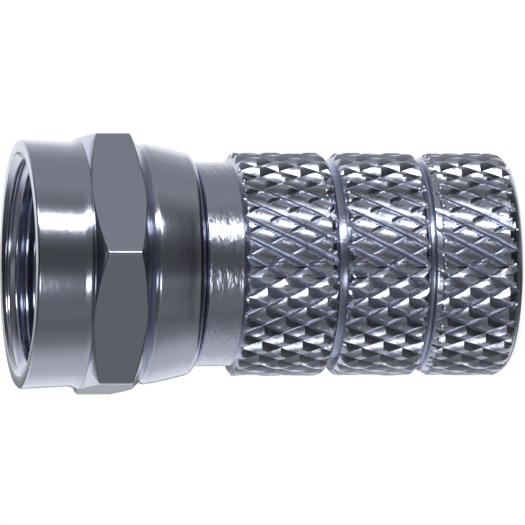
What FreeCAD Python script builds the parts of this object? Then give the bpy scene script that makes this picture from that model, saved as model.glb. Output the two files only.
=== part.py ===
import FreeCAD, Part
import Sketcher
import math
import os

# Twist-on F connector for coaxial cable, nickel-plated brass, millimetres.
# It stands on the rear ring of the sleeve, where the cable goes in, and +Z is the long axis
# up to the mouth of the nut. Three real pieces: a hexagon nut that spins freely, a knurled
# sleeve, and a flanged ferrule pressed into the sleeve, which keeps the nut captive.

# Driving sizes: name, value in millimetres (degrees for the angles, a count for the counts).
# Diameters stand only where a bore or thread sets them. Everything round them is that bore plus
# its walls, steps and clearances, so a wall keeps its thickness when a bore changes. With these
# values the hexagon comes to 11.0 across flats, the usual spanner for a 3/8-32 thread.
SIZES = [
    ("jacket_bore", 6.70),
    ("jacket_depth", 11.00),
    ("entry_chamfer", 0.20),
    ("neck_wall", 1.115),
    ("neck_length", 1.62),
    ("neck_edge", 0.10),
    ("band_wall", 1.55),
    ("front_band", 4.27),
    ("middle_band", 3.80),
    ("rear_band", 3.98),
    ("front_groove_width", 0.27),
    ("front_groove_wall", 0.75),
    ("rear_groove_width", 0.10),
    ("rear_groove_wall", 1.15),
    ("lead_in", 0.20),
    ("band_head_bevel", 0.28),
    ("band_foot_bevel", 0.42),
    ("rear_round", 1.00),
    ("rear_round_bevels", 3),
    ("knurl_count", 32),
    ("knurl_depth", 0.30),
    ("knurl_angle", 28.2),
    ("knurl_offset", 0.22),
    ("knurl_blank_margin", 0.03),
    ("dielectric_bore", 5.00),
    ("dielectric_edge", 0.20),
    ("spigot_wall", 0.45),
    ("spigot_length", 2.70),
    ("spigot_edge", 0.12),
    ("journal_step", 0.35),
    ("flange_thickness", 0.90),
    ("flange_edge", 0.12),
    ("flange_side_gap", 0.18),
    ("nut_radial_play", 0.05),
    ("nut_end_play", 0.08),
    ("thread_minor", 8.76),
    ("mouth_chamfer", 0.52),
    ("relief_depth", 0.32),
    ("relief_length", 1.20),
    ("lip_thickness", 1.38),
    ("lip_edge", 0.12),
    ("rim_wall", 0.56),
    ("rim_edge", 0.08),
    ("collar_length", 2.10),
    ("collar_flare", 0.11),
    ("run_up_length", 0.45),
    ("waist_step", 0.15),
    ("hex_length", 2.37),
    ("hex_chamfer_angle", 27.0),
    ("hex_blank_margin", 0.10),
    ("notch_wall", 0.46),
    ("notch_length", 0.55),
    ("notch_rise", 0.19),
    ("skirt_step", 0.11),
    ("skirt_length", 2.11),
    ("skirt_taper", 0.37),
    ("skirt_crown", 8.00),
    ("skirt_bevel", 0.28),
]

doc = FreeCAD.newDocument("f_connector")
sheet = doc.addObject("Spreadsheet::Sheet", "Sizes")
for row, (name, value) in enumerate(SIZES, start=1):
    sheet.set(f"A{row}", name)
    sheet.set(f"B{row}", str(value))
    sheet.setAlias(f"B{row}", name)
doc.recompute()


class Measure:
    """A number that remembers the sheet formula it comes from."""

    def __init__(self, value, formula):
        self.value = float(value)
        self.formula = formula

    def join(self, sign, other, value):
        right = other.formula if isinstance(other, Measure) else str(other)
        return Measure(value, f"({self.formula} {sign} {right})")

    def __add__(self, other):
        return self.join("+", other, self.value + number(other))

    def __sub__(self, other):
        return self.join("-", other, self.value - number(other))

    def __mul__(self, other):
        return self.join("*", other, self.value * number(other))

    def __truediv__(self, other):
        return self.join("/", other, self.value / number(other))


def number(term):
    return term.value if isinstance(term, Measure) else float(term)


def size(name):
    return Measure(sheet.get(name), f"Sizes.{name}")


def radius(name):
    return size(name) / 2


def tangent(angle):
    return Measure(math.tan(math.radians(angle.value)), f"tan({angle.formula} * 1 deg)")


def origin_plane(body, role):
    return [part for part in body.Origin.OriginFeatures if part.Role == role][0]


def new_body(label):
    body = doc.addObject("PartDesign::Body", label)
    body.Label = label
    body.Placement = FreeCAD.Placement()
    return body


def new_sketch(body, name, role):
    sketch = body.newObject("Sketcher::SketchObject", name)
    sketch.AttachmentSupport = [(origin_plane(body, role), "")]
    sketch.MapMode = "FlatFace"
    return sketch


def bind(sketch, constraint, term):
    sketch.setExpression(f"Constraints[{constraint}]", term.formula)


def pin_point(sketch, edge, end, across, up):
    """Ties one end of an edge to its two distances from the sketch's origin."""
    for kind, axis, term in (("DistanceX", -2, across), ("DistanceY", -1, up)):
        if number(term) == 0 and not isinstance(term, Measure):
            sketch.addConstraint(Sketcher.Constraint("PointOnObject", edge, end, axis))
        else:
            added = sketch.addConstraint(Sketcher.Constraint(kind, -1, 1, edge, end, number(term)))
            bind(sketch, added, term)


def arc_between(start, finish, bend):
    """Arc of radius |bend| from start to finish, turning left where bend is positive."""
    chord = finish - start
    reach = math.sqrt(bend * bend - chord.Length * chord.Length / 4)
    left = FreeCAD.Vector(-chord.y, chord.x, 0).normalize()
    centre = (start + finish) * 0.5 + left * math.copysign(reach, bend)
    first, last = (start, finish) if bend > 0 else (finish, start)
    angles = [math.atan2(point.y - centre.y, point.x - centre.x) for point in (first, last)]
    return Part.ArcOfCircle(Part.Circle(centre, FreeCAD.Vector(0, 0, 1), abs(bend)), *angles)


def draw_loop(sketch, corners):
    """Closed outline. A corner is (across, up), or (across, up, bend) where an arc arrives at it."""
    ends = []
    for index, corner in enumerate(corners):
        before = corners[index - 1]
        start = FreeCAD.Vector(number(before[0]), number(before[1]), 0)
        finish = FreeCAD.Vector(number(corner[0]), number(corner[1]), 0)
        if len(corner) == 3:
            bend, left_turn = corner[2]
            edge = sketch.addGeometry(arc_between(start, finish, bend.value * left_turn), False)
            held = sketch.addConstraint(Sketcher.Constraint("Radius", edge, bend.value))
            bind(sketch, held, bend)
            ends.append((edge, 1, 2) if left_turn > 0 else (edge, 2, 1))
        else:
            edge = sketch.addGeometry(Part.LineSegment(start, finish), False)
            ends.append((edge, 1, 2))
    for index, corner in enumerate(corners):
        edge, first, last = ends[index]
        following, next_first, next_last = ends[(index + 1) % len(corners)]
        sketch.addConstraint(Sketcher.Constraint("Coincident", edge, last, following, next_first))
        pin_point(sketch, edge, last, corner[0], corner[1])


def turned_body(label, corners):
    """Piece turned about the long axis: corners are (radius, height) round its half section."""
    body = new_body(label)
    section = new_sketch(body, f"{label}_section", "XZ_Plane")
    draw_loop(section, corners)
    doc.recompute()
    turning = body.newObject("PartDesign::Revolution", f"{label}_turning")
    turning.Profile = section
    turning.ReferenceAxis = (section, ["V_Axis"])
    turning.Angle = 360
    doc.recompute()
    return body


LEFT, RIGHT = 1, -1

# Heights up the sleeve, from the ring it stands on
rear_groove_floor = size("rear_band")
rear_groove_top = rear_groove_floor + size("rear_groove_width")
front_groove_floor = rear_groove_top + size("middle_band")
front_groove_top = front_groove_floor + size("front_groove_width")
neck_foot = front_groove_top + size("front_band")
shoulder = neck_foot + size("neck_length")

# Heights up the nut, which runs between the sleeve's shoulder and the ferrule's flange
nut_rear = shoulder + size("nut_end_play")
lip_front = nut_rear + size("lip_thickness")
flange_rear = lip_front + size("nut_end_play")
flange_front = flange_rear + size("flange_thickness")
relief_top = lip_front + size("relief_length")
skirt_front = nut_rear + size("skirt_length")
hex_rear = skirt_front + size("notch_length")
hex_front = hex_rear + size("hex_length")
waist = hex_front + size("run_up_length")
mouth = waist + size("collar_length")

# Radii used in more than one place, from the bores outwards
jacket_radius = radius("jacket_bore")
neck_radius = jacket_radius + size("neck_wall")
knurl_radius = jacket_radius + size("band_wall")
dielectric_radius = radius("dielectric_bore")
spigot_radius = dielectric_radius + size("spigot_wall")
journal_radius = spigot_radius + size("journal_step")
thread_radius = radius("thread_minor")
flange_radius = thread_radius - size("flange_side_gap")


def sleeve_blank():
    """The sleeve as turned, before its bands are bevelled and knurled: neck, bands, stepped bore."""
    crest = knurl_radius + size("knurl_blank_margin")
    rear_floor = jacket_radius + size("rear_groove_wall")
    front_floor = jacket_radius + size("front_groove_wall")
    neck_edge = size("neck_edge")
    step = size("jacket_depth")
    entry = size("entry_chamfer")
    corners = [(crest, 0), (crest, rear_groove_floor), (rear_floor, rear_groove_floor)]
    corners += [(rear_floor, rear_groove_top), (crest, rear_groove_top)]
    corners += [(crest, front_groove_floor), (front_floor, front_groove_floor)]
    corners += [(front_floor, front_groove_top), (crest, front_groove_top)]
    corners += [(crest, neck_foot), (neck_radius, neck_foot)]
    corners += [(neck_radius, shoulder - neck_edge), (neck_radius - neck_edge, shoulder)]
    corners += [(spigot_radius, shoulder), (spigot_radius, step), (jacket_radius, step)]
    corners += [(jacket_radius, entry), (jacket_radius + entry, 0)]
    return turned_body("sleeve_blank", corners)


def around(distance, step, steps_per_turn, height):
    angle = 2 * math.pi * step / steps_per_turn
    return FreeCAD.Vector(distance * math.cos(angle), distance * math.sin(angle), height)


def facet(*points):
    return Part.Face(Part.makePolygon(list(points) + [points[0]]))


def add_bar(label, facets):
    """Solid bar, closed by the given flat facets, for the blank to be cut with."""
    skin = Part.makeCompound(facets)
    skin.sewShape()
    solid = Part.Solid(skin.Shells[0])
    if solid.Volume < 0:
        solid.reverse()
    bar = doc.addObject("Part::Feature", label)
    bar.Label = label
    bar.Shape = solid
    bar.Placement = FreeCAD.Placement()
    return bar


def bevel_bar():
    """The bevelled ends of the bands, in flats, so that they meet the knurl in straight lines."""
    crest = knurl_radius + size("knurl_blank_margin")
    head = size("band_head_bevel")
    foot = size("band_foot_bevel")
    rear = size("rear_round")
    bevels = int(size("rear_round_bevels").value)
    outline = []
    for bevel in range(bevels + 1):
        angle = math.radians(90 * bevel / bevels)
        outline.append((crest - rear + rear * math.sin(angle), rear - rear * math.cos(angle)))
    for floor, top in ((rear_groove_floor, rear_groove_top), (front_groove_floor, front_groove_top)):
        outline += [(crest, floor - head), (crest - head, floor)]
        outline += [(crest - foot, top), (crest, top + foot)]
    outline += [(crest, neck_foot - size("lead_in")), (neck_radius, neck_foot)]
    outline += [(crest, neck_foot), (crest, shoulder)]

    # Half a step round from the knurl's points, and the flats no deeper than the round would be
    steps = 2 * int(size("knurl_count").value)
    to_corner = 1 / math.cos(math.pi / steps)
    rings = []
    for distance, height in outline:
        reach = distance.value * to_corner
        rings.append([around(reach, step + 0.5, steps, height.value) for step in range(steps)])
    facets = [facet(*rings[0]), facet(*rings[-1])]
    for lower, upper in zip(rings, rings[1:]):
        for step in range(steps):
            facets.append(facet(lower[step - 1], lower[step], upper[step], upper[step - 1]))
    return add_bar("bevel_bar", facets)


def knurl_bar():
    """The diamond knurl, as a lattice of points.

    Grooves cross at plus and minus the knurl angle. On each row, points and the deep corners
    where two grooves cross take turns, and the next row is shifted by half a pitch.
    """
    steps = 2 * int(size("knurl_count").value)
    crest = knurl_radius.value
    deep = crest - size("knurl_depth").value
    row_pitch = 2 * math.pi * crest / steps / math.tan(math.radians(size("knurl_angle").value))
    rows = math.ceil(shoulder.value / row_pitch) + 2
    bottom = -row_pitch - size("knurl_offset").value

    def corner(row, step):
        distance = deep if (row + step) % 2 else crest
        return around(distance, step % steps, steps, bottom + row * row_pitch)

    facets = []
    for row in range(rows + 1):
        for step in range(row % 2, steps, 2):
            point = corner(row, step)
            ring = [(row, step + 1), (row + 1, step), (row, step - 1), (row - 1, step)]
            for (row_1, step_1), (row_2, step_2) in zip(ring, ring[1:] + ring[:1]):
                if min(row_1, row_2) >= 0 and max(row_1, row_2) <= rows:
                    facets.append(facet(point, corner(row_1, step_1), corner(row_2, step_2)))
    for row in (0, rows):
        facets.append(facet(*[corner(row, step) for step in range(steps)]))
    return add_bar("knurl_bar", facets)


def common_part(label, base, tool):
    common = doc.addObject("Part::Common", label)
    common.Label = label
    common.Base = base
    common.Tool = tool
    common.Refine = False
    common.Placement = FreeCAD.Placement()
    return common


def knurled_sleeve():
    """The blank keeps only what lies inside both bars, the bevelled one and the knurled one."""
    bevelled = common_part("bevelled_blank", sleeve_blank(), bevel_bar())
    return common_part("knurled_sleeve", bevelled, knurl_bar())


def flanged_ferrule():
    """Bush pressed into the sleeve: spigot, journal that the nut turns on, and flange."""
    bore = dielectric_radius
    bore_edge = size("dielectric_edge")
    spigot = spigot_radius
    spigot_edge = size("spigot_edge")
    spigot_foot = shoulder - size("spigot_length")
    flange_edge = size("flange_edge")
    corners = [(bore, spigot_foot), (spigot - spigot_edge, spigot_foot)]
    corners += [(spigot, spigot_foot + spigot_edge), (spigot, shoulder)]
    corners += [(journal_radius, shoulder), (journal_radius, flange_rear)]
    corners += [(flange_radius, flange_rear), (flange_radius, flange_front - flange_edge)]
    corners += [(flange_radius - flange_edge, flange_front), (bore + bore_edge, flange_front)]
    corners += [(bore, flange_front - bore_edge)]
    return turned_body("flanged_ferrule", corners)


def nut_turning(flat, blank):
    """The nut off the lathe: the hexagon's zone is still round, with its two chamfers."""
    chamfer = (blank - flat) * tangent(size("hex_chamfer_angle"))
    waist_radius = flat - size("waist_step")
    run_up = size("run_up_length")
    rise = size("waist_step")
    run_up_bend = (rise * rise + run_up * run_up) / (rise * 2)
    opening = thread_radius + size("mouth_chamfer")
    rim = opening + size("rim_wall")
    rim_edge = size("rim_edge")
    relief_depth = size("relief_depth")
    relief = thread_radius + relief_depth
    notch = relief + size("notch_wall")
    skirt = notch + size("skirt_step")
    skirt_rear = skirt - size("skirt_taper")
    skirt_bevel = size("skirt_bevel")
    lip = journal_radius + size("nut_radial_play")
    lip_edge = size("lip_edge")

    corners = [(lip + lip_edge, nut_rear), (skirt_rear - skirt_bevel, nut_rear)]
    corners += [(skirt_rear, nut_rear + skirt_bevel)]
    corners += [(skirt, skirt_front, (size("skirt_crown"), LEFT))]
    corners += [(notch, skirt_front + size("notch_rise"))]
    corners += [(flat, hex_rear), (blank, hex_rear + chamfer)]
    corners += [(blank, hex_front - chamfer), (flat, hex_front)]
    corners += [(waist_radius, waist, (run_up_bend, RIGHT))]
    corners += [(rim, mouth - rim_edge), (rim - rim_edge, mouth), (opening, mouth)]
    corners += [(thread_radius, mouth - size("mouth_chamfer")), (thread_radius, relief_top)]
    corners += [(relief, relief_top - relief_depth), (relief, lip_front)]
    corners += [(lip, lip_front), (lip, nut_rear + lip_edge)]
    return turned_body("coupling_nut", corners)


def coupling_nut():
    """Nut turned from hexagon bar: collar, chamfered hexagon, skirt, threaded mouth, rear lip."""
    rim = thread_radius + size("mouth_chamfer") + size("rim_wall")
    flat = rim - size("collar_flare") + size("waist_step")
    corner = flat * 2 / math.sqrt(3)
    blank = corner + size("hex_blank_margin")
    body = nut_turning(flat, blank)
    round_volume = body.Shape.Volume

    # Six flats, milled all along: only the hexagon's zone stands out far enough to be cut
    flats = new_sketch(body, "coupling_nut_flats", "XY_Plane")
    hexagon = [(flat, corner / 2), (0, corner), (flat * -1, corner / 2)]
    hexagon += [(flat * -1, corner / -2), (0, corner * -1), (flat, corner / -2)]
    draw_loop(flats, hexagon)
    outside = blank * 2
    circle = Part.Circle(FreeCAD.Vector(), FreeCAD.Vector(0, 0, 1), outside.value)
    ring = flats.addGeometry(circle, False)
    flats.addConstraint(Sketcher.Constraint("Coincident", ring, 3, -1, 1))
    bind(flats, flats.addConstraint(Sketcher.Constraint("Radius", ring, outside.value)), outside)
    doc.recompute()
    milling = body.newObject("PartDesign::Pocket", "coupling_nut_milling")
    milling.Profile = flats
    milling.Type = "ThroughAll"
    milling.Reversed = True
    doc.recompute()
    if body.Shape.Volume >= round_volume:
        raise ValueError("the flats of the nut weren't cut")
    return body


def check_document(pieces):
    for part in doc.Objects:
        if "Invalid" in part.State or "Error" in part.State:
            raise ValueError(f"{part.Label} failed: {part.State}")
    for piece in pieces:
        if piece.Shape.isNull() or not piece.Shape.isValid():
            raise ValueError(f"{piece.Label} has no valid shape")


pieces = [knurled_sleeve(), flanged_ferrule(), coupling_nut()]
doc.recompute()
check_document(pieces)
os.makedirs("parts", exist_ok=True)
for piece in pieces:
    piece.Shape.exportStep(f"parts/{piece.Label}.step")
    solids = len(piece.Shape.Solids)
    faces = len(piece.Shape.Faces)
    print(f"{piece.Label}: {solids} solid, {faces} faces, {piece.Shape.Volume:.2f} cubic mm")
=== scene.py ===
import bmesh
import bpy
import math
import random
from mathutils import Matrix, Vector


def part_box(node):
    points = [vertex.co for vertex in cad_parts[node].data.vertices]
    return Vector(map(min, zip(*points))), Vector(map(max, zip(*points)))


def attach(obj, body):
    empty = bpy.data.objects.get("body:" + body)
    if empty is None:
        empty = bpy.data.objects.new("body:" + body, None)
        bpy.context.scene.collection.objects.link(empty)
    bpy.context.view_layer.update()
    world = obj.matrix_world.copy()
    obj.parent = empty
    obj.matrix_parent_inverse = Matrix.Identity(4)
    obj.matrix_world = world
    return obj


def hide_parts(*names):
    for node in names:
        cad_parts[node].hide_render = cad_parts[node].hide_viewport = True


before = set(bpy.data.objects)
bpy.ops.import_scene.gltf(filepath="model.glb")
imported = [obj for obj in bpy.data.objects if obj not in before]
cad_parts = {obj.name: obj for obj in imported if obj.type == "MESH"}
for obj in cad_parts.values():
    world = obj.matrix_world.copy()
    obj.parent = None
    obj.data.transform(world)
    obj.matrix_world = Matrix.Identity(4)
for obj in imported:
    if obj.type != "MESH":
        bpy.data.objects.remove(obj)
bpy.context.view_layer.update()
print(f"frame loaded: {len(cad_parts)} nodes")

# Twist-on F connector, nickel-plated brass. It stands on the sleeve's rear ring, +Z up to the mouth.
# Sizes below are millimetres, and the meshes are made in metres.
mm = 0.001


def radiusAndEnds(node):  # of a CAD node, in millimetres
    low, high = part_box(node)
    return high[0] / mm, low[2] / mm, high[2] / mm


def linearColour(hexValue):  # from sRGB
    channels = [int(hexValue[place:place + 2], 16) / 255 for place in (1, 3, 5)]
    linear = [c / 12.92 if c <= 0.04045 else ((c + 0.055) / 1.055) ** 2.4 for c in channels]
    return (*linear, 1.0)


# Outlines: half sections as (radius, height), which the meshes are turned from.
# A corner is rounded if the sine of its turn is over leastTurn, and by at most a share of each side.
rounding = {"leastTurn": 0.2, "shareOfSide": 0.4, "noLength": 1e-6}


def arcPoints(start, end, bend, count):
    # The points after start, up to end. bend is the radius, above 0 on a turn to the left
    chord = Vector(end) - Vector(start)
    reach = math.sqrt(bend * bend - chord.length_squared / 4)
    left = Vector((-chord.y, chord.x)).normalized()
    centre = (Vector(start) + Vector(end)) / 2 + left * math.copysign(reach, bend)
    spoke = Vector(start) - centre
    turned = 2 * math.asin(chord.length / 2 / abs(bend)) * math.copysign(1, bend)
    points = []
    for step in range(1, count + 1):
        points.append(tuple(centre + Matrix.Rotation(turned * step / count, 2) @ spoke))
    return points


def softened(outline, setback):  # every outer corner gets a small round of three points
    soft = [outline[0]]
    for before, corner, after in zip(outline, outline[1:], outline[2:]):
        towards, onwards = Vector(before) - Vector(corner), Vector(after) - Vector(corner)
        turned = towards.x * onwards.y - towards.y * onwards.x  # below 0 to the left, an outer corner
        outer = turned <= -rounding["leastTurn"] * towards.length * onwards.length
        if not outer or min(towards.length, onwards.length) < rounding["noLength"]:
            soft.append(corner)
            continue
        first = Vector(corner) + towards * min(rounding["shareOfSide"], setback / towards.length)
        last = Vector(corner) + onwards * min(rounding["shareOfSide"], setback / onwards.length)
        middle = (first + last) / 4 + Vector(corner) / 2
        soft += [tuple(first), tuple(middle), tuple(last)]
    return soft + [outline[-1]]


# Skins: rings of points round the axis, joined by quads

def onCircle(radius, angle, height):
    return radius * math.cos(angle), radius * math.sin(angle), height


def turnedRings(outline, angles):
    return [[onCircle(radius, angle, height) for angle in angles] for radius, height in outline]


def newSkin():
    return {"points": [], "faces": [], "finishes": []}


def addSheet(skin, rings, finish=0, turnShift=0, rising=None):
    # finish: place in the piece's list of materials. turnShift: rows gained in one turn, on a thread.
    # rising: tells which way a quad is split in two, by row and column.
    first = len(skin["points"])
    columns = len(rings[0])
    for ring in rings:
        skin["points"] += ring
    for row in range(len(rings) - 1):
        for column in range(columns):
            gained = turnShift if column == columns - 1 else 0
            if row + 1 + gained >= len(rings):
                continue
            beside = (column + 1) % columns
            low = [first + row * columns + column, first + (row + gained) * columns + beside]
            high = [place + columns for place in low]
            if rising is None:
                faces = [(low[0], low[1], high[1], high[0])]
            elif rising(row, column):
                faces = [(low[0], low[1], high[1]), (low[0], high[1], high[0])]
            else:
                faces = [(low[0], low[1], high[0]), (low[1], high[1], high[0])]
            skin["faces"] += faces
            skin["finishes"] += [finish] * len(faces)


def threadRings(angles, thread, low, high, lowRadius, highRadius, guard):
    # Rows run up the helix. guard gives the plain bore's radius where it is wider than the thread,
    # and rows beyond an end lie on that end's ring.
    crest, root = thread["crestRadius"], thread["rootRadius"]
    pitch, rows = thread["pitch"], thread["rowsPerTurn"]
    rootMiddle = 0.5 + thread["crestShare"] / 2
    rootStart, rootEnd = rootMiddle - thread["rootShare"] / 2, rootMiddle + thread["rootShare"] / 2
    profile = [(0, crest), (thread["crestShare"], crest), (rootStart, root), (rootEnd, root), (1, crest)]

    def profileRadius(share):  # of the pitch
        for (share1, radius1), (share2, radius2) in zip(profile, profile[1:]):
            if share <= share2:
                return radius1 + (radius2 - radius1) * (share - share1) / (share2 - share1)

    spareTurns = 3  # half of them past each end, so that the rows reach both ends all the way round
    rings = []
    for row in range(rows * (math.ceil((high - low) / pitch) + spareTurns)):
        ring = []
        bore = profileRadius(row % rows / rows)
        for angle in angles:
            height = low + pitch * ((row - rows * spareTurns / 2) / rows + angle / (2 * math.pi))
            if height <= low:
                ring.append(onCircle(lowRadius, angle, low))
            elif height >= high:
                ring.append(onCircle(highRadius, angle, high))
            else:
                ring.append(onCircle(max(bore, guard(height)), angle, height))
        rings.append(ring)
    return rings


# Points nearer than join are made one, and faces thinner than thinnest are dropped, in mm.
# An inner corner that bends by more than innerBend degrees stays sharp.
cleaning = {"join": 0.0005, "thinnest": 0.0002, "innerBend": 30}


def makePiece(name, skin, materials, node, body, crease=180):
    # crease: degrees past which an edge stays sharp inside the second finish
    mesh = bpy.data.meshes.new(name)
    points = [(x * mm, y * mm, z * mm) for x, y, z in skin["points"]]
    mesh.from_pydata(points, [], skin["faces"])
    for material in materials:
        mesh.materials.append(material)
    mesh.polygons.foreach_set("material_index", skin["finishes"])
    work = bmesh.new()
    work.from_mesh(mesh)
    bmesh.ops.remove_doubles(work, verts=work.verts, dist=cleaning["join"] * mm)
    bmesh.ops.dissolve_degenerate(work, edges=work.edges, dist=cleaning["thinnest"] * mm)
    bmesh.ops.recalc_face_normals(work, faces=work.faces)
    for face in work.faces:
        face.smooth = True
    for edge in work.edges:
        bend = math.degrees(edge.calc_face_angle(0))
        creased = bend > crease and all(face.material_index for face in edge.link_faces)
        inner = bend > cleaning["innerBend"] and not edge.is_convex
        edge.smooth = not (creased or inner)
    work.to_mesh(mesh)
    work.free()
    piece = bpy.data.objects.new(name, mesh)
    bpy.context.scene.collection.objects.link(piece)
    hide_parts(node)
    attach(piece, body)
    print(f"{name}: {len(mesh.polygons)} faces")
    return piece


def weighNormals(piece):  # large faces keep their own shading, and the small rounds take the turn
    weigh = piece.modifiers.new("weighNormals", "WEIGHTED_NORMAL")
    weigh.weight = 80  # over 50, large faces count for more
    weigh.keep_sharp = True


# Materials

def addNode(tree, kind, settings=None, links=None):
    node = tree.nodes.new(kind)
    for name, value in (settings or {}).items():
        if isinstance(name, int) or name in node.inputs:
            node.inputs[name].default_value = value
        else:
            setattr(node, name, value)
    for name, source in (links or {}).items():
        tree.links.new(source, node.inputs[name])
    return node


# Nickel plate over brass: a hard, faintly cool grey mirror. It follows the surface under it, so
# what shows is how the brass was made before it was plated.
plateColour = "#C8CDE0"


def nickelPlate(name, roughness, marks):
    # marks: a list of (size of a mark along x, y and z, height of the marks), all in mm
    material = bpy.data.materials.new(name)
    material.use_nodes = True
    tree = material.node_tree
    shader = tree.nodes["Principled BSDF"]
    shader.inputs["Base Color"].default_value = linearColour(plateColour)
    shader.inputs["Metallic"].default_value = 1.0
    shader.inputs["Roughness"].default_value = roughness
    place = addNode(tree, "ShaderNodeTexCoord")
    bump = None
    for sizes, height in marks:
        scale = tuple(1 / (size * mm) for size in sizes)
        mapped = addNode(tree, "ShaderNodeMapping", {"Scale": scale}, {"Vector": place.outputs["Object"]})
        pattern = addNode(
            tree, "ShaderNodeTexNoise", {"Scale": 1.0, "Detail": 2.0, "Roughness": 0.6},
            {"Vector": mapped.outputs["Vector"]})
        links = {"Height": pattern.outputs["Fac"]}
        if bump:
            links["Normal"] = bump.outputs["Normal"]
        bump = addNode(tree, "ShaderNodeBump", {"Strength": 1.0, "Distance": height * mm}, links)
    tree.links.new(bump.outputs["Normal"], shader.inputs["Normal"])
    return material


# Turned: fine rings round the axis from the tool's feed, about 0.05 mm apart on the real piece.
# They are drawn 0.11 and 0.22 mm apart, so that they show: they fray the edges of each highlight.
nickelTurned = nickelPlate(
    "nickel-plated brass, turned", roughness=0.17,
    marks=[((0.9091, 0.9091, 0.2222), 0.006), ((6.667, 6.667, 0.1111), 0.002)])

# Turned more coarsely: the sleeve's neck, whose highlights break up into short streaks
nickelCoarse = nickelPlate(
    "nickel-plated brass, turned coarsely", roughness=0.22,
    marks=[((0.9091, 0.9091, 0.2222), 0.045), ((6.667, 6.667, 0.1111), 0.004)])

# Drawn: the hexagon bar keeps its drawing marks, long faint scratches along the axis with a few
# nicks across them, which make the flats a little duller than the turned parts
nickelDrawn = nickelPlate(
    "nickel-plated brass, drawn", roughness=0.25,
    marks=[((0.1111, 0.1111, 2.857), 0.0015), ((0.4, 0.4, 0.8333), 0.004)])

# Knurled: rolled faces are smooth and bright, with small dents where the rolls left off
nickelKnurled = nickelPlate(
    "nickel-plated brass, knurled", roughness=0.25,
    marks=[((0.3333, 0.3333, 0.3333), 0.007), ((0.1111, 0.1111, 0.1111), 0.0015)])
print("materials made")


# Coupling nut: turned from drawn hexagon bar, 3/8-32 thread in the mouth

nut = {
    "lipBore": 3.35, "lipEdge": 0.12, "lipThickness": 1.38,
    "skirtRear": 4.90, "skirtRound": 0.40, "skirtCrown": 14.0, "skirtFront": 5.27, "skirtLength": 2.11,
    "notch": 5.16, "notchRise": 0.19, "notchLength": 0.55,
    "hexLength": 2.37, "chamferAngle": 27.0, "chamferFloor": 0.03,
    "cornerRound": 0.18, "besideCorner": (-0.82, -0.41, 0.41, 0.82),  # columns there, in degrees
    "runUpLength": 0.45, "waist": 5.35, "rim": 5.46, "rimEdge": 0.08, "mouthEdge": 0.02, "opening": 4.90,
    "relief": 4.70, "reliefSlope": 0.32, "reliefLength": 1.20,
    "softEdge": 0.05, "columns": 240, "roundSteps": 6, "crownSteps": 8,
}
nutThread = {
    "pitch": 0.794, "crestRadius": 4.38, "rootRadius": 4.76,
    "crestShare": 0.25, "rootShare": 0.13, "rowsPerTurn": 20,
}
nutFlat, nutRear, nutMouth = radiusAndEnds("coupling_nut")
halfSide = math.radians(30)  # from the middle of a flat, which faces +X, to a corner


def nutAngles():
    angles = {round(turned * 360 / nut["columns"], 3) for turned in range(nut["columns"])}
    for corner in range(30, 360, 60):
        angles |= {round((corner + off) % 360, 3) for off in nut["besideCorner"]}
    return [math.radians(angle) for angle in sorted(angles)]


def hexReach(angle):  # radius of the hexagon with its rounded corners, at that angle
    off = abs(angle % (2 * halfSide) - halfSide)
    bend = nut["cornerRound"]
    toCentre = (nutFlat - bend) / math.cos(halfSide)
    if off <= math.atan2(bend * math.sin(halfSide), toCentre + bend * math.cos(halfSide)):
        return toCentre * math.cos(off) + math.sqrt(bend ** 2 - (toCentre * math.sin(off)) ** 2)
    return nutFlat / math.cos(halfSide - off)


def hexRings(angles, rear, front):
    slope = math.tan(math.radians(nut["chamferAngle"]))
    # The round from chamfer to flat, as shares of its size: in from the flat, and off the edge
    edgeRound = [(1, -slope), (0.15, 0.3), (0, 1), (0, 1.2)]
    rows = [[] for _ in range(2 * len(edgeRound))]
    for angle in angles:
        reach = hexReach(angle)
        across = reach - nutFlat + nut["chamferFloor"]
        rise = across * slope
        soft = min(nut["softEdge"], rounding["shareOfSide"] * across)
        column = [(reach - soft * inwards, rear + rise + soft * off) for inwards, off in edgeRound]
        column += [(reach - soft * inwards, front - rise - soft * off) for inwards, off in edgeRound[::-1]]
        for row, (radius, height) in zip(rows, column):
            row.append(onCircle(radius, angle, height))
    return rows


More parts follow.
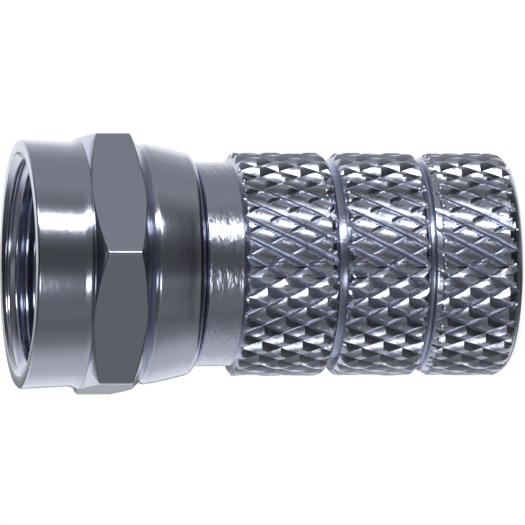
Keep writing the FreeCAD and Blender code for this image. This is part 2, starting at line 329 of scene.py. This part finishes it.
def couplingNut():
    skin = newSkin()
    angles = nutAngles()
    skirtFront = nutRear + nut["skirtLength"]
    hexRear = skirtFront + nut["notchLength"]
    hexFront = hexRear + nut["hexLength"]
    lipFront = nutRear + nut["lipThickness"]
    reliefFront = lipFront + nut["reliefLength"]

    rearCorner = (nut["skirtRear"] - nut["skirtRound"], nutRear)
    roundEnd = (nut["skirtRear"], nutRear + nut["skirtRound"])
    skirt = [(nut["lipBore"], nutRear + nut["lipEdge"]), (nut["lipBore"] + nut["lipEdge"], nutRear)]
    skirt += [rearCorner]
    skirt += arcPoints(rearCorner, roundEnd, nut["skirtRound"], nut["roundSteps"])
    skirt += arcPoints(skirt[-1], (nut["skirtFront"], skirtFront), nut["skirtCrown"], nut["crownSteps"])
    skirt += [(nut["notch"], skirtFront + nut["notchRise"]), (nutFlat - nut["chamferFloor"], hexRear)]
    skirtRings = turnedRings(softened(skirt, nut["softEdge"]), angles)
    addSheet(skin, skirtRings)

    hexagon = hexRings(angles, hexRear, hexFront)
    middle = len(hexagon) // 2
    addSheet(skin, [skirtRings[-1]] + hexagon[:middle])
    addSheet(skin, hexagon[middle - 1:middle + 1], finish=1)  # the flats, as drawn

    # Between hexagon and waist the tool ran up in a hollow curve
    waist = (nut["waist"], hexFront + nut["runUpLength"])
    rise = nutFlat - nut["waist"]
    runUpBend = (rise ** 2 + nut["runUpLength"] ** 2) / (2 * rise)
    collar = [(nutFlat - nut["chamferFloor"], hexFront), (nutFlat, hexFront)]
    collar += arcPoints(collar[-1], waist, -runUpBend, nut["roundSteps"])
    collar += [(nut["rim"], nutMouth - nut["rimEdge"]), (nut["rim"] - nut["rimEdge"], nutMouth)]
    collar += [(nut["opening"] + nut["mouthEdge"], nutMouth), (nut["opening"], nutMouth)]
    addSheet(skin, hexagon[middle:] + turnedRings(softened(collar, nut["softEdge"]), angles))

    # The thread's chamfer opens at 45 degrees to the mouth, and its run-out slopes to the relief
    chamferFoot = nutMouth - (nut["opening"] - nutThread["crestRadius"])
    slopeFoot = reliefFront - nut["reliefSlope"]

    def guard(height):
        return nutThread["crestRadius"] + max(height - chamferFoot, reliefFront - height, 0)

    thread = threadRings(angles, nutThread, slopeFoot, nutMouth, nut["relief"], nut["opening"], guard)
    addSheet(skin, thread, turnShift=nutThread["rowsPerTurn"])
    inside = [(nut["relief"], slopeFoot), (nut["relief"], lipFront), (nut["lipBore"], lipFront)]
    inside += [(nut["lipBore"], nutRear + nut["lipEdge"])]
    addSheet(skin, turnedRings(softened(inside, nut["softEdge"]), angles))
    return skin


nutPiece = makePiece(
    "couplingNut", couplingNut(), [nickelTurned, nickelDrawn], "coupling_nut", "nut")
weighNormals(nutPiece)


# Knurled sleeve: neck and three knurled bands outside, coarse thread for the cable inside

sleeve = {
    "neck": 4.465, "neckLength": 1.62, "neckEdge": 0.10, "leadIn": 0.20, "blankMargin": 0.03,
    "footRound": 0.62, "rearRound": 1.00, "rearSteps": 10, "headLean": 0.25, "softEdge": 0.04,
    "spigotSeat": 2.95, "step": 11.00, "entry": 0.20, "threadRunOut": 0.40,
}
# The grooves between the bands. head is what is turned off the band under the groove, as
# (depth, length before the groove), and a round foot of so many steps leads up to the band over it.
grooves = [
    {"from": 3.98, "to": 4.08, "floor": 4.38, "footSteps": 6,
     "head": [(0.21, 0.32), (0.24, 0.08), (0.40, 0.0)]},
    {"from": 7.88, "to": 8.15, "floor": 4.10, "footSteps": 7,
     "head": [(0.0, 0.28), (0.28, 0.0)]},
]
knurl = {
    "count": 32, "depth": 0.30, "angle": 28.2, "offset": 0.22,
    # Widths in cells of the diamonds' flat tops, along the even grooves and the crossing ones, and
    # how far and how often round the sleeve the second width swings
    "land": 2, "crossLand": 2.7, "crossSwing": 1.5, "shallowPlaces": 3, "shallowSide": 286,
    # The tops' crown and the flanks' fall and bulge, as shares of the depth
    "crown": 0.02, "steepness": 1.02, "bulge": 0.36,
    "unevenness": 0.14, "seed": 11, "cellsPerStep": 6, "leastGap": 0.2, "crease": 16,
}
# A twist-on plug grips the 7 mm jacket with a coarse thread of about this pitch
jacketThread = {
    "pitch": 1.25, "crestRadius": 3.35, "rootRadius": 3.66,
    "crestShare": 0.22, "rootShare": 0.18, "rowsPerTurn": 8,
}
sleeveRadius, sleeveRear, shoulder = radiusAndEnds("knurled_sleeve")
crest = sleeveRadius + sleeve["blankMargin"]  # of the blank, just over the knurl
neckFoot = shoulder - sleeve["neckLength"]
knurlSteps = 2 * knurl["count"]
knurlRowPitch = 2 * math.pi * sleeveRadius / knurlSteps / math.tan(math.radians(knurl["angle"]))
knurlBottom = -knurlRowPitch - knurl["offset"]
diamondRows = range(-2, math.ceil(shoulder / knurlRowPitch) + 4)  # a few to spare past both ends

chance = random.Random(knurl["seed"])
diamondHeight = {}  # each diamond's height differs a little, as rolled ones do
for row in diamondRows:
    for step in range(knurlSteps):
        diamondHeight[row, step] = 1 - knurl["unevenness"] * chance.random()


def ridgeDrops(off, land):
    # off: distance from the ridge, in groove pitches. Gives the fall of the crown and of the flank
    edge = land / knurl["cellsPerStep"] / 2
    down = max(2 * (off - edge), 0)
    return knurl["crown"] * min(off / edge, 1) ** 2, knurl["steepness"] * down + knurl["bulge"] * down ** 2


def knurlRadius(step, height):
    # The two families of grooves are half-way between whole numbers of across and along
    row = (height - knurlBottom) / knurlRowPitch
    across, along = (step + row) / 2, (step - row) / 2
    columnA, columnB = round(across), round(along)
    # The grooves that rise with the turn were rolled evenly. The ones across them are shallower at
    # three places round the sleeve, where the blank gave way between the jaws.
    side = math.radians(step * 360 / knurlSteps - knurl["shallowSide"])
    crossLand = knurl["crossLand"] + knurl["crossSwing"] * math.cos(knurl["shallowPlaces"] * side)
    crown, flank = ridgeDrops(abs(along - columnB), knurl["land"])
    crossCrown, crossFlank = ridgeDrops(abs(across - columnA), max(round(crossLand), knurl["land"]))
    rise = 1 - min(crown + crossCrown + max(flank, crossFlank), 1)
    rise *= diamondHeight[columnA - columnB, (columnA + columnB) % knurlSteps]
    return sleeveRadius - knurl["depth"] * (1 - rise)


def sleeveOutline():  # what the lathe leaves, from the rear ring to the shoulder
    rear, foot = sleeve["rearRound"], sleeve["footRound"]
    outline = [(crest - rear, sleeveRear)]
    outline += arcPoints(outline[-1], (crest, sleeveRear + rear), rear, sleeve["rearSteps"])
    for groove in grooves:
        bottom, top, floor, head = groove["from"], groove["to"], groove["floor"], groove["head"]
        headDepth, headLength = head[0]
        outline += [(crest, bottom - headLength - headDepth * sleeve["headLean"])]
        outline += [(crest - depth, bottom - length) for depth, length in head]
        footRadius = max(crest - foot, floor)  # where the round foot starts
        rise = foot - math.sqrt(foot ** 2 - (footRadius - (crest - foot)) ** 2)
        outline += [(floor, bottom), (floor, top), (footRadius, top + rise)]
        outline += arcPoints(outline[-1], (crest, top + foot), foot, groove["footSteps"])
    outline += [(crest, neckFoot - sleeve["leadIn"]), (sleeve["neck"], neckFoot)]
    outline += [(sleeve["neck"], shoulder - sleeve["neckEdge"])]
    outline += [(sleeve["neck"] - sleeve["neckEdge"], shoulder)]
    return softened(outline, sleeve["softEdge"])


def knurledRows(outline):  # the outline's points, with the knurl's rows between them
    spacing = knurlRowPitch / knurl["cellsPerStep"]
    rows = [outline[0]]
    for (radius1, height1), (radius2, height2) in zip(outline, outline[1:]):
        number = math.floor((height1 - knurlBottom) / spacing) + 1
        while knurlBottom + number * spacing < height2 - spacing * knurl["leastGap"]:
            height = knurlBottom + number * spacing
            share = (height - height1) / (height2 - height1)
            if share > 0:
                rows.append((radius1 + (radius2 - radius1) * share, height))
            number += 1
        rows.append((radius2, height2))
    return rows


def knurledSleeve():
    skin = newSkin()
    columns = knurlSteps * knurl["cellsPerStep"]
    angles = [2 * math.pi * column / columns for column in range(columns)]
    rows = knurledRows(sleeveOutline())
    rings = []
    for limit, height in rows:
        ring = []
        for column, angle in enumerate(angles):
            radius = min(limit, knurlRadius(column / knurl["cellsPerStep"], height))
            ring.append(onCircle(radius, angle, height))
        rings.append(ring)

    def rising(row, column):  # quads are split along the groove that is nearest
        middle = (rows[row][1] + rows[row + 1][1]) / 2
        return (math.floor((middle - knurlBottom) / knurlRowPitch) + column // knurl["cellsPerStep"]) % 2 == 1

    neckRow = rows.index((sleeve["neck"], neckFoot))
    addSheet(skin, rings[:neckRow + 1], finish=1, rising=rising)
    addSheet(skin, rings[neckRow:])

    threadEnd = sleeve["step"] - sleeve["threadRunOut"]
    bore = [(sleeve["neck"] - sleeve["neckEdge"], shoulder), (sleeve["spigotSeat"], shoulder)]
    bore += [(sleeve["spigotSeat"], sleeve["step"]), (jacketThread["crestRadius"], sleeve["step"])]
    bore += [(jacketThread["crestRadius"], threadEnd)]
    addSheet(skin, turnedRings(softened(bore, sleeve["softEdge"]), angles))

    entryRadius = jacketThread["crestRadius"] + sleeve["entry"]

    def guard(height):  # the entry's chamfer, at 45 degrees
        return jacketThread["crestRadius"] + max(sleeve["entry"] - (height - sleeveRear), 0)

    thread = threadRings(
        angles, jacketThread, sleeveRear, threadEnd, entryRadius, jacketThread["crestRadius"], guard)
    addSheet(skin, thread, turnShift=jacketThread["rowsPerTurn"])
    base = [(entryRadius, sleeveRear), (crest - sleeve["rearRound"], sleeveRear)]
    addSheet(skin, turnedRings(base, angles))
    return skin


makePiece(
    "knurledSleeve", knurledSleeve(), [nickelCoarse, nickelKnurled],
    "knurled_sleeve", "sleeve", crease=knurl["crease"])


# Flanged ferrule: pressed into the sleeve, and the nut turns on it

ferrule = {
    "bore": 2.50, "boreEdge": 0.20, "spigot": 2.95, "spigotEdge": 0.12, "journal": 3.30,
    "flangeThickness": 0.90, "flangeEdge": 0.12, "softEdge": 0.04, "columns": 192,
    "seam": 13.0,  # height at which the outline starts and ends, in the bore
}
flangeRadius, ferruleRear, ferruleFront = radiusAndEnds("flanged_ferrule")


def flangedFerrule():
    skin = newSkin()
    angles = [2 * math.pi * column / ferrule["columns"] for column in range(ferrule["columns"])]
    flangeRear = ferruleFront - ferrule["flangeThickness"]
    outline = [(ferrule["bore"], ferrule["seam"]), (ferrule["bore"], ferruleRear)]
    outline += [(ferrule["spigot"] - ferrule["spigotEdge"], ferruleRear)]
    outline += [(ferrule["spigot"], ferruleRear + ferrule["spigotEdge"]), (ferrule["spigot"], shoulder)]
    outline += [(ferrule["journal"], shoulder), (ferrule["journal"], flangeRear), (flangeRadius, flangeRear)]
    outline += [(flangeRadius, ferruleFront - ferrule["flangeEdge"])]
    outline += [(flangeRadius - ferrule["flangeEdge"], ferruleFront)]
    outline += [(ferrule["bore"] + ferrule["boreEdge"], ferruleFront)]
    outline += [(ferrule["bore"], ferruleFront - ferrule["boreEdge"]), (ferrule["bore"], ferrule["seam"])]
    addSheet(skin, turnedRings(softened(outline, ferrule["softEdge"]), angles))
    return skin


ferrulePiece = makePiece(
    "flangedFerrule", flangedFerrule(), [nickelTurned], "flanged_ferrule", "sleeve")
weighNormals(ferrulePiece)


# Camera: beside the connector and a little above it, rolled so that +Z points left. It is far off,
# with a long lens, because the photograph shows hardly any perspective.

shot = {
    "turn": 4.4, "elevation": 9.7, "distance": 800.0, "pixelsPerMm": 22.8, "imageWidth": 525,
    "aimHeight": 10.877, "aimSide": 0.075, "sensor": 36.0, "nearest": 10.0, "farthest": 10000.0,
}
turn, elevation = math.radians(shot["turn"]), math.radians(shot["elevation"])
towardsCamera = Vector((-math.sin(turn), -math.cos(turn), 0))
imageUp = Vector((math.cos(turn), -math.sin(turn), 0))
back = towardsCamera * math.cos(elevation) + Vector((0, 0, math.sin(elevation)))
aim = (imageUp * shot["aimSide"] + Vector((0, 0, shot["aimHeight"]))) * mm

lens = bpy.data.cameras.new("camera")
lens.sensor_width = shot["sensor"]
lens.lens = shot["sensor"] * shot["distance"] * shot["pixelsPerMm"] / shot["imageWidth"]
lens.clip_start, lens.clip_end = shot["nearest"] * mm, shot["farthest"] * mm
camera = bpy.data.objects.new("camera", lens)
bpy.context.scene.collection.objects.link(camera)
facing = Matrix((imageUp.cross(back), imageUp, back)).transposed().to_4x4()
camera.matrix_world = Matrix.Translation(aim + back * shot["distance"] * mm) @ facing
bpy.context.scene.camera = camera
print("camera placed")


# Light: two strip lamps in front, in a dim room with a white background behind

# angle: round the axis, from the camera towards image-up. height: above level. Both in degrees
lamps = {
    "key": {"angle": 43, "height": 12, "roll": -11, "width": 62, "length": 380, "radiance": 6.0},
    "low": {"angle": -19, "height": 17, "roll": 0, "width": 58, "length": 174, "radiance": 3.0},
}
lampDistance = 300


def placeLamp(name, lamp):
    angle, height = math.radians(lamp["angle"]), math.radians(lamp["height"])
    level = towardsCamera * math.cos(angle) + imageUp * math.sin(angle)
    direction = level * math.cos(height) + Vector((0, 0, math.sin(height)))
    light = bpy.data.lights.new(name, "AREA")
    light.shape = "RECTANGLE"
    light.size, light.size_y = lamp["width"] * mm, lamp["length"] * mm
    light.energy = lamp["radiance"] * math.pi * light.size * light.size_y
    holder = bpy.data.objects.new(name, light)
    bpy.context.scene.collection.objects.link(holder)
    towards = direction.to_track_quat("Z", "Y").to_matrix().to_4x4()
    roll = Matrix.Rotation(math.radians(lamp["roll"]), 4, "Z")
    holder.matrix_world = Matrix.Translation(aim + direction * lampDistance * mm) @ towards @ roll
    holder.visible_camera = False


for name, lamp in lamps.items():
    placeLamp(name, lamp)

# The room's light by angle round the axis, from behind on the low side, over the camera at 0, to behind
roomByAngle = [
    (-180, 0.50), (-178, 0.20), (-166, 0.20), (-156, 0.92), (-140, 0.90), (-126, 0.65), (-99, 0.54),
    (-78, 0.24), (-60, 0.15), (-48, 0.19), (-35, 0.17), (-26, 0.18), (-20, 0.22), (-14, 0.18),
    (-8, 0.09), (12, 0.07), (58, 0.16), (68, 0.25), (80, 0.33), (95, 0.30), (120, 0.34), (135, 0.50),
    (150, 0.72), (180, 0.90),
]
# It is darker at both ends of the axis: share of the light, by the direction's part along +Z
roomEnds = [(-0.72, 0.10), (-0.55, 1.0), (0.56, 1.0), (0.74, 0.18)]
# Where the metal shows the white background that stands behind the connector: share by the same angle
backdropByAngle = [
    (-180, 0.0), (-167, 0.0), (-162, 1.0), (-154, 1.0), (-148, 0.0), (148, 0.0), (156, 1.0), (180, 1.0),
]


def addGreys(tree, source, levels, start, end):
    # A ramp through the levels, which are (place between start and end, grey)
    share = addNode(tree, "ShaderNodeMapRange", {"From Min": start, "From Max": end}, {"Value": source})
    ramp = addNode(tree, "ShaderNodeValToRGB", links={"Fac": share.outputs["Result"]})
    stops = ramp.color_ramp.elements
    stops.remove(stops[1])
    stops[0].position = (levels[0][0] - start) / (end - start)
    for place, level in levels[1:]:
        stops.new((place - start) / (end - start))
    for stop, (place, level) in zip(stops, levels):
        stop.color = (level, level, level, 1)
    return ramp.outputs["Color"]


def makeRoom():
    world = bpy.data.worlds.new("studio")
    bpy.context.scene.world = world
    world.use_nodes = True
    tree = world.node_tree
    tree.nodes.clear()
    place = addNode(tree, "ShaderNodeTexCoord")
    turned = addNode(
        tree, "ShaderNodeMapping", {"vector_type": "POINT", "Rotation": (0, 0, turn)},
        {"Vector": place.outputs["Generated"]})
    parts = addNode(tree, "ShaderNodeSeparateXYZ", links={"Vector": turned.outputs["Vector"]})
    front = addNode(tree, "ShaderNodeMath", {"operation": "MULTIPLY", 1: -1.0}, {0: parts.outputs["Y"]})
    radians = addNode(
        tree, "ShaderNodeMath", {"operation": "ARCTAN2"}, {0: parts.outputs["X"], 1: front.outputs["Value"]})
    angle = addNode(tree, "ShaderNodeMath", {"operation": "DEGREES"}, {0: radians.outputs["Value"]})
    around = addGreys(tree, angle.outputs["Value"], roomByAngle, -180, 180)
    backdrop = addGreys(tree, angle.outputs["Value"], backdropByAngle, -180, 180)
    ends = addGreys(tree, parts.outputs["Z"], roomEnds, -1, 1)
    both = addNode(tree, "ShaderNodeMath", {"operation": "MULTIPLY"}, {0: around, 1: ends})
    light = addNode(tree, "ShaderNodeBackground", {"Strength": 1.0}, {"Color": both.outputs["Value"]})
    white = addNode(tree, "ShaderNodeBackground", {"Color": (1, 1, 1, 1), "Strength": 1.0})
    ray = addNode(tree, "ShaderNodeLightPath")
    mirrored = addNode(
        tree, "ShaderNodeMath", {"operation": "MAXIMUM"},
        {0: ray.outputs["Is Glossy Ray"], 1: ray.outputs["Is Transmission Ray"]})
    behind = addNode(
        tree, "ShaderNodeMath", {"operation": "MULTIPLY"}, {0: mirrored.outputs["Value"], 1: backdrop})
    shown = addNode(
        tree, "ShaderNodeMath", {"operation": "MULTIPLY_ADD"},
        {0: behind.outputs["Value"], 1: ends, 2: ray.outputs["Is Camera Ray"]})
    seen = addNode(
        tree, "ShaderNodeMixShader",
        links={"Fac": shown.outputs["Value"], 1: light.outputs["Background"], 2: white.outputs["Background"]})
    addNode(tree, "ShaderNodeOutputWorld", links={"Surface": seen.outputs["Shader"]})


makeRoom()

# A matt white card. The camera sees it as white, and darker only in the connector's shadow. The
# metal doesn't show it, and it casts no shadow, so that the room lights the connector from below too.
floorCard = {"reach": 30, "colour": "#F4F4F4", "roughness": 0.9, "glow": 0.8}


def makeFloor():
    reach = floorCard["reach"] * mm
    corners = [(-reach, -reach, 0), (reach, -reach, 0), (reach, reach, 0), (-reach, reach, 0)]
    mesh = bpy.data.meshes.new("floor")
    mesh.from_pydata(corners, [], [(0, 1, 2, 3)])
    card = bpy.data.objects.new("floor", mesh)
    bpy.context.scene.collection.objects.link(card)
    material = bpy.data.materials.new("matt white card")
    material.use_nodes = True
    tree = material.node_tree
    shader = tree.nodes["Principled BSDF"]
    shader.inputs["Base Color"].default_value = linearColour(floorCard["colour"])
    shader.inputs["Roughness"].default_value = floorCard["roughness"]
    shader.inputs["Emission Color"].default_value = (1, 1, 1, 1)
    ray = addNode(tree, "ShaderNodeLightPath")
    glow = addNode(
        tree, "ShaderNodeMath", {"operation": "MULTIPLY", 1: floorCard["glow"]},
        {0: ray.outputs["Is Camera Ray"]})
    tree.links.new(glow.outputs["Value"], shader.inputs["Emission Strength"])
    mesh.materials.append(material)
    card.visible_glossy = False
    card.visible_shadow = False


makeFloor()
bpy.context.scene.view_settings.view_transform = "Standard"
print("room, lamps and floor made")
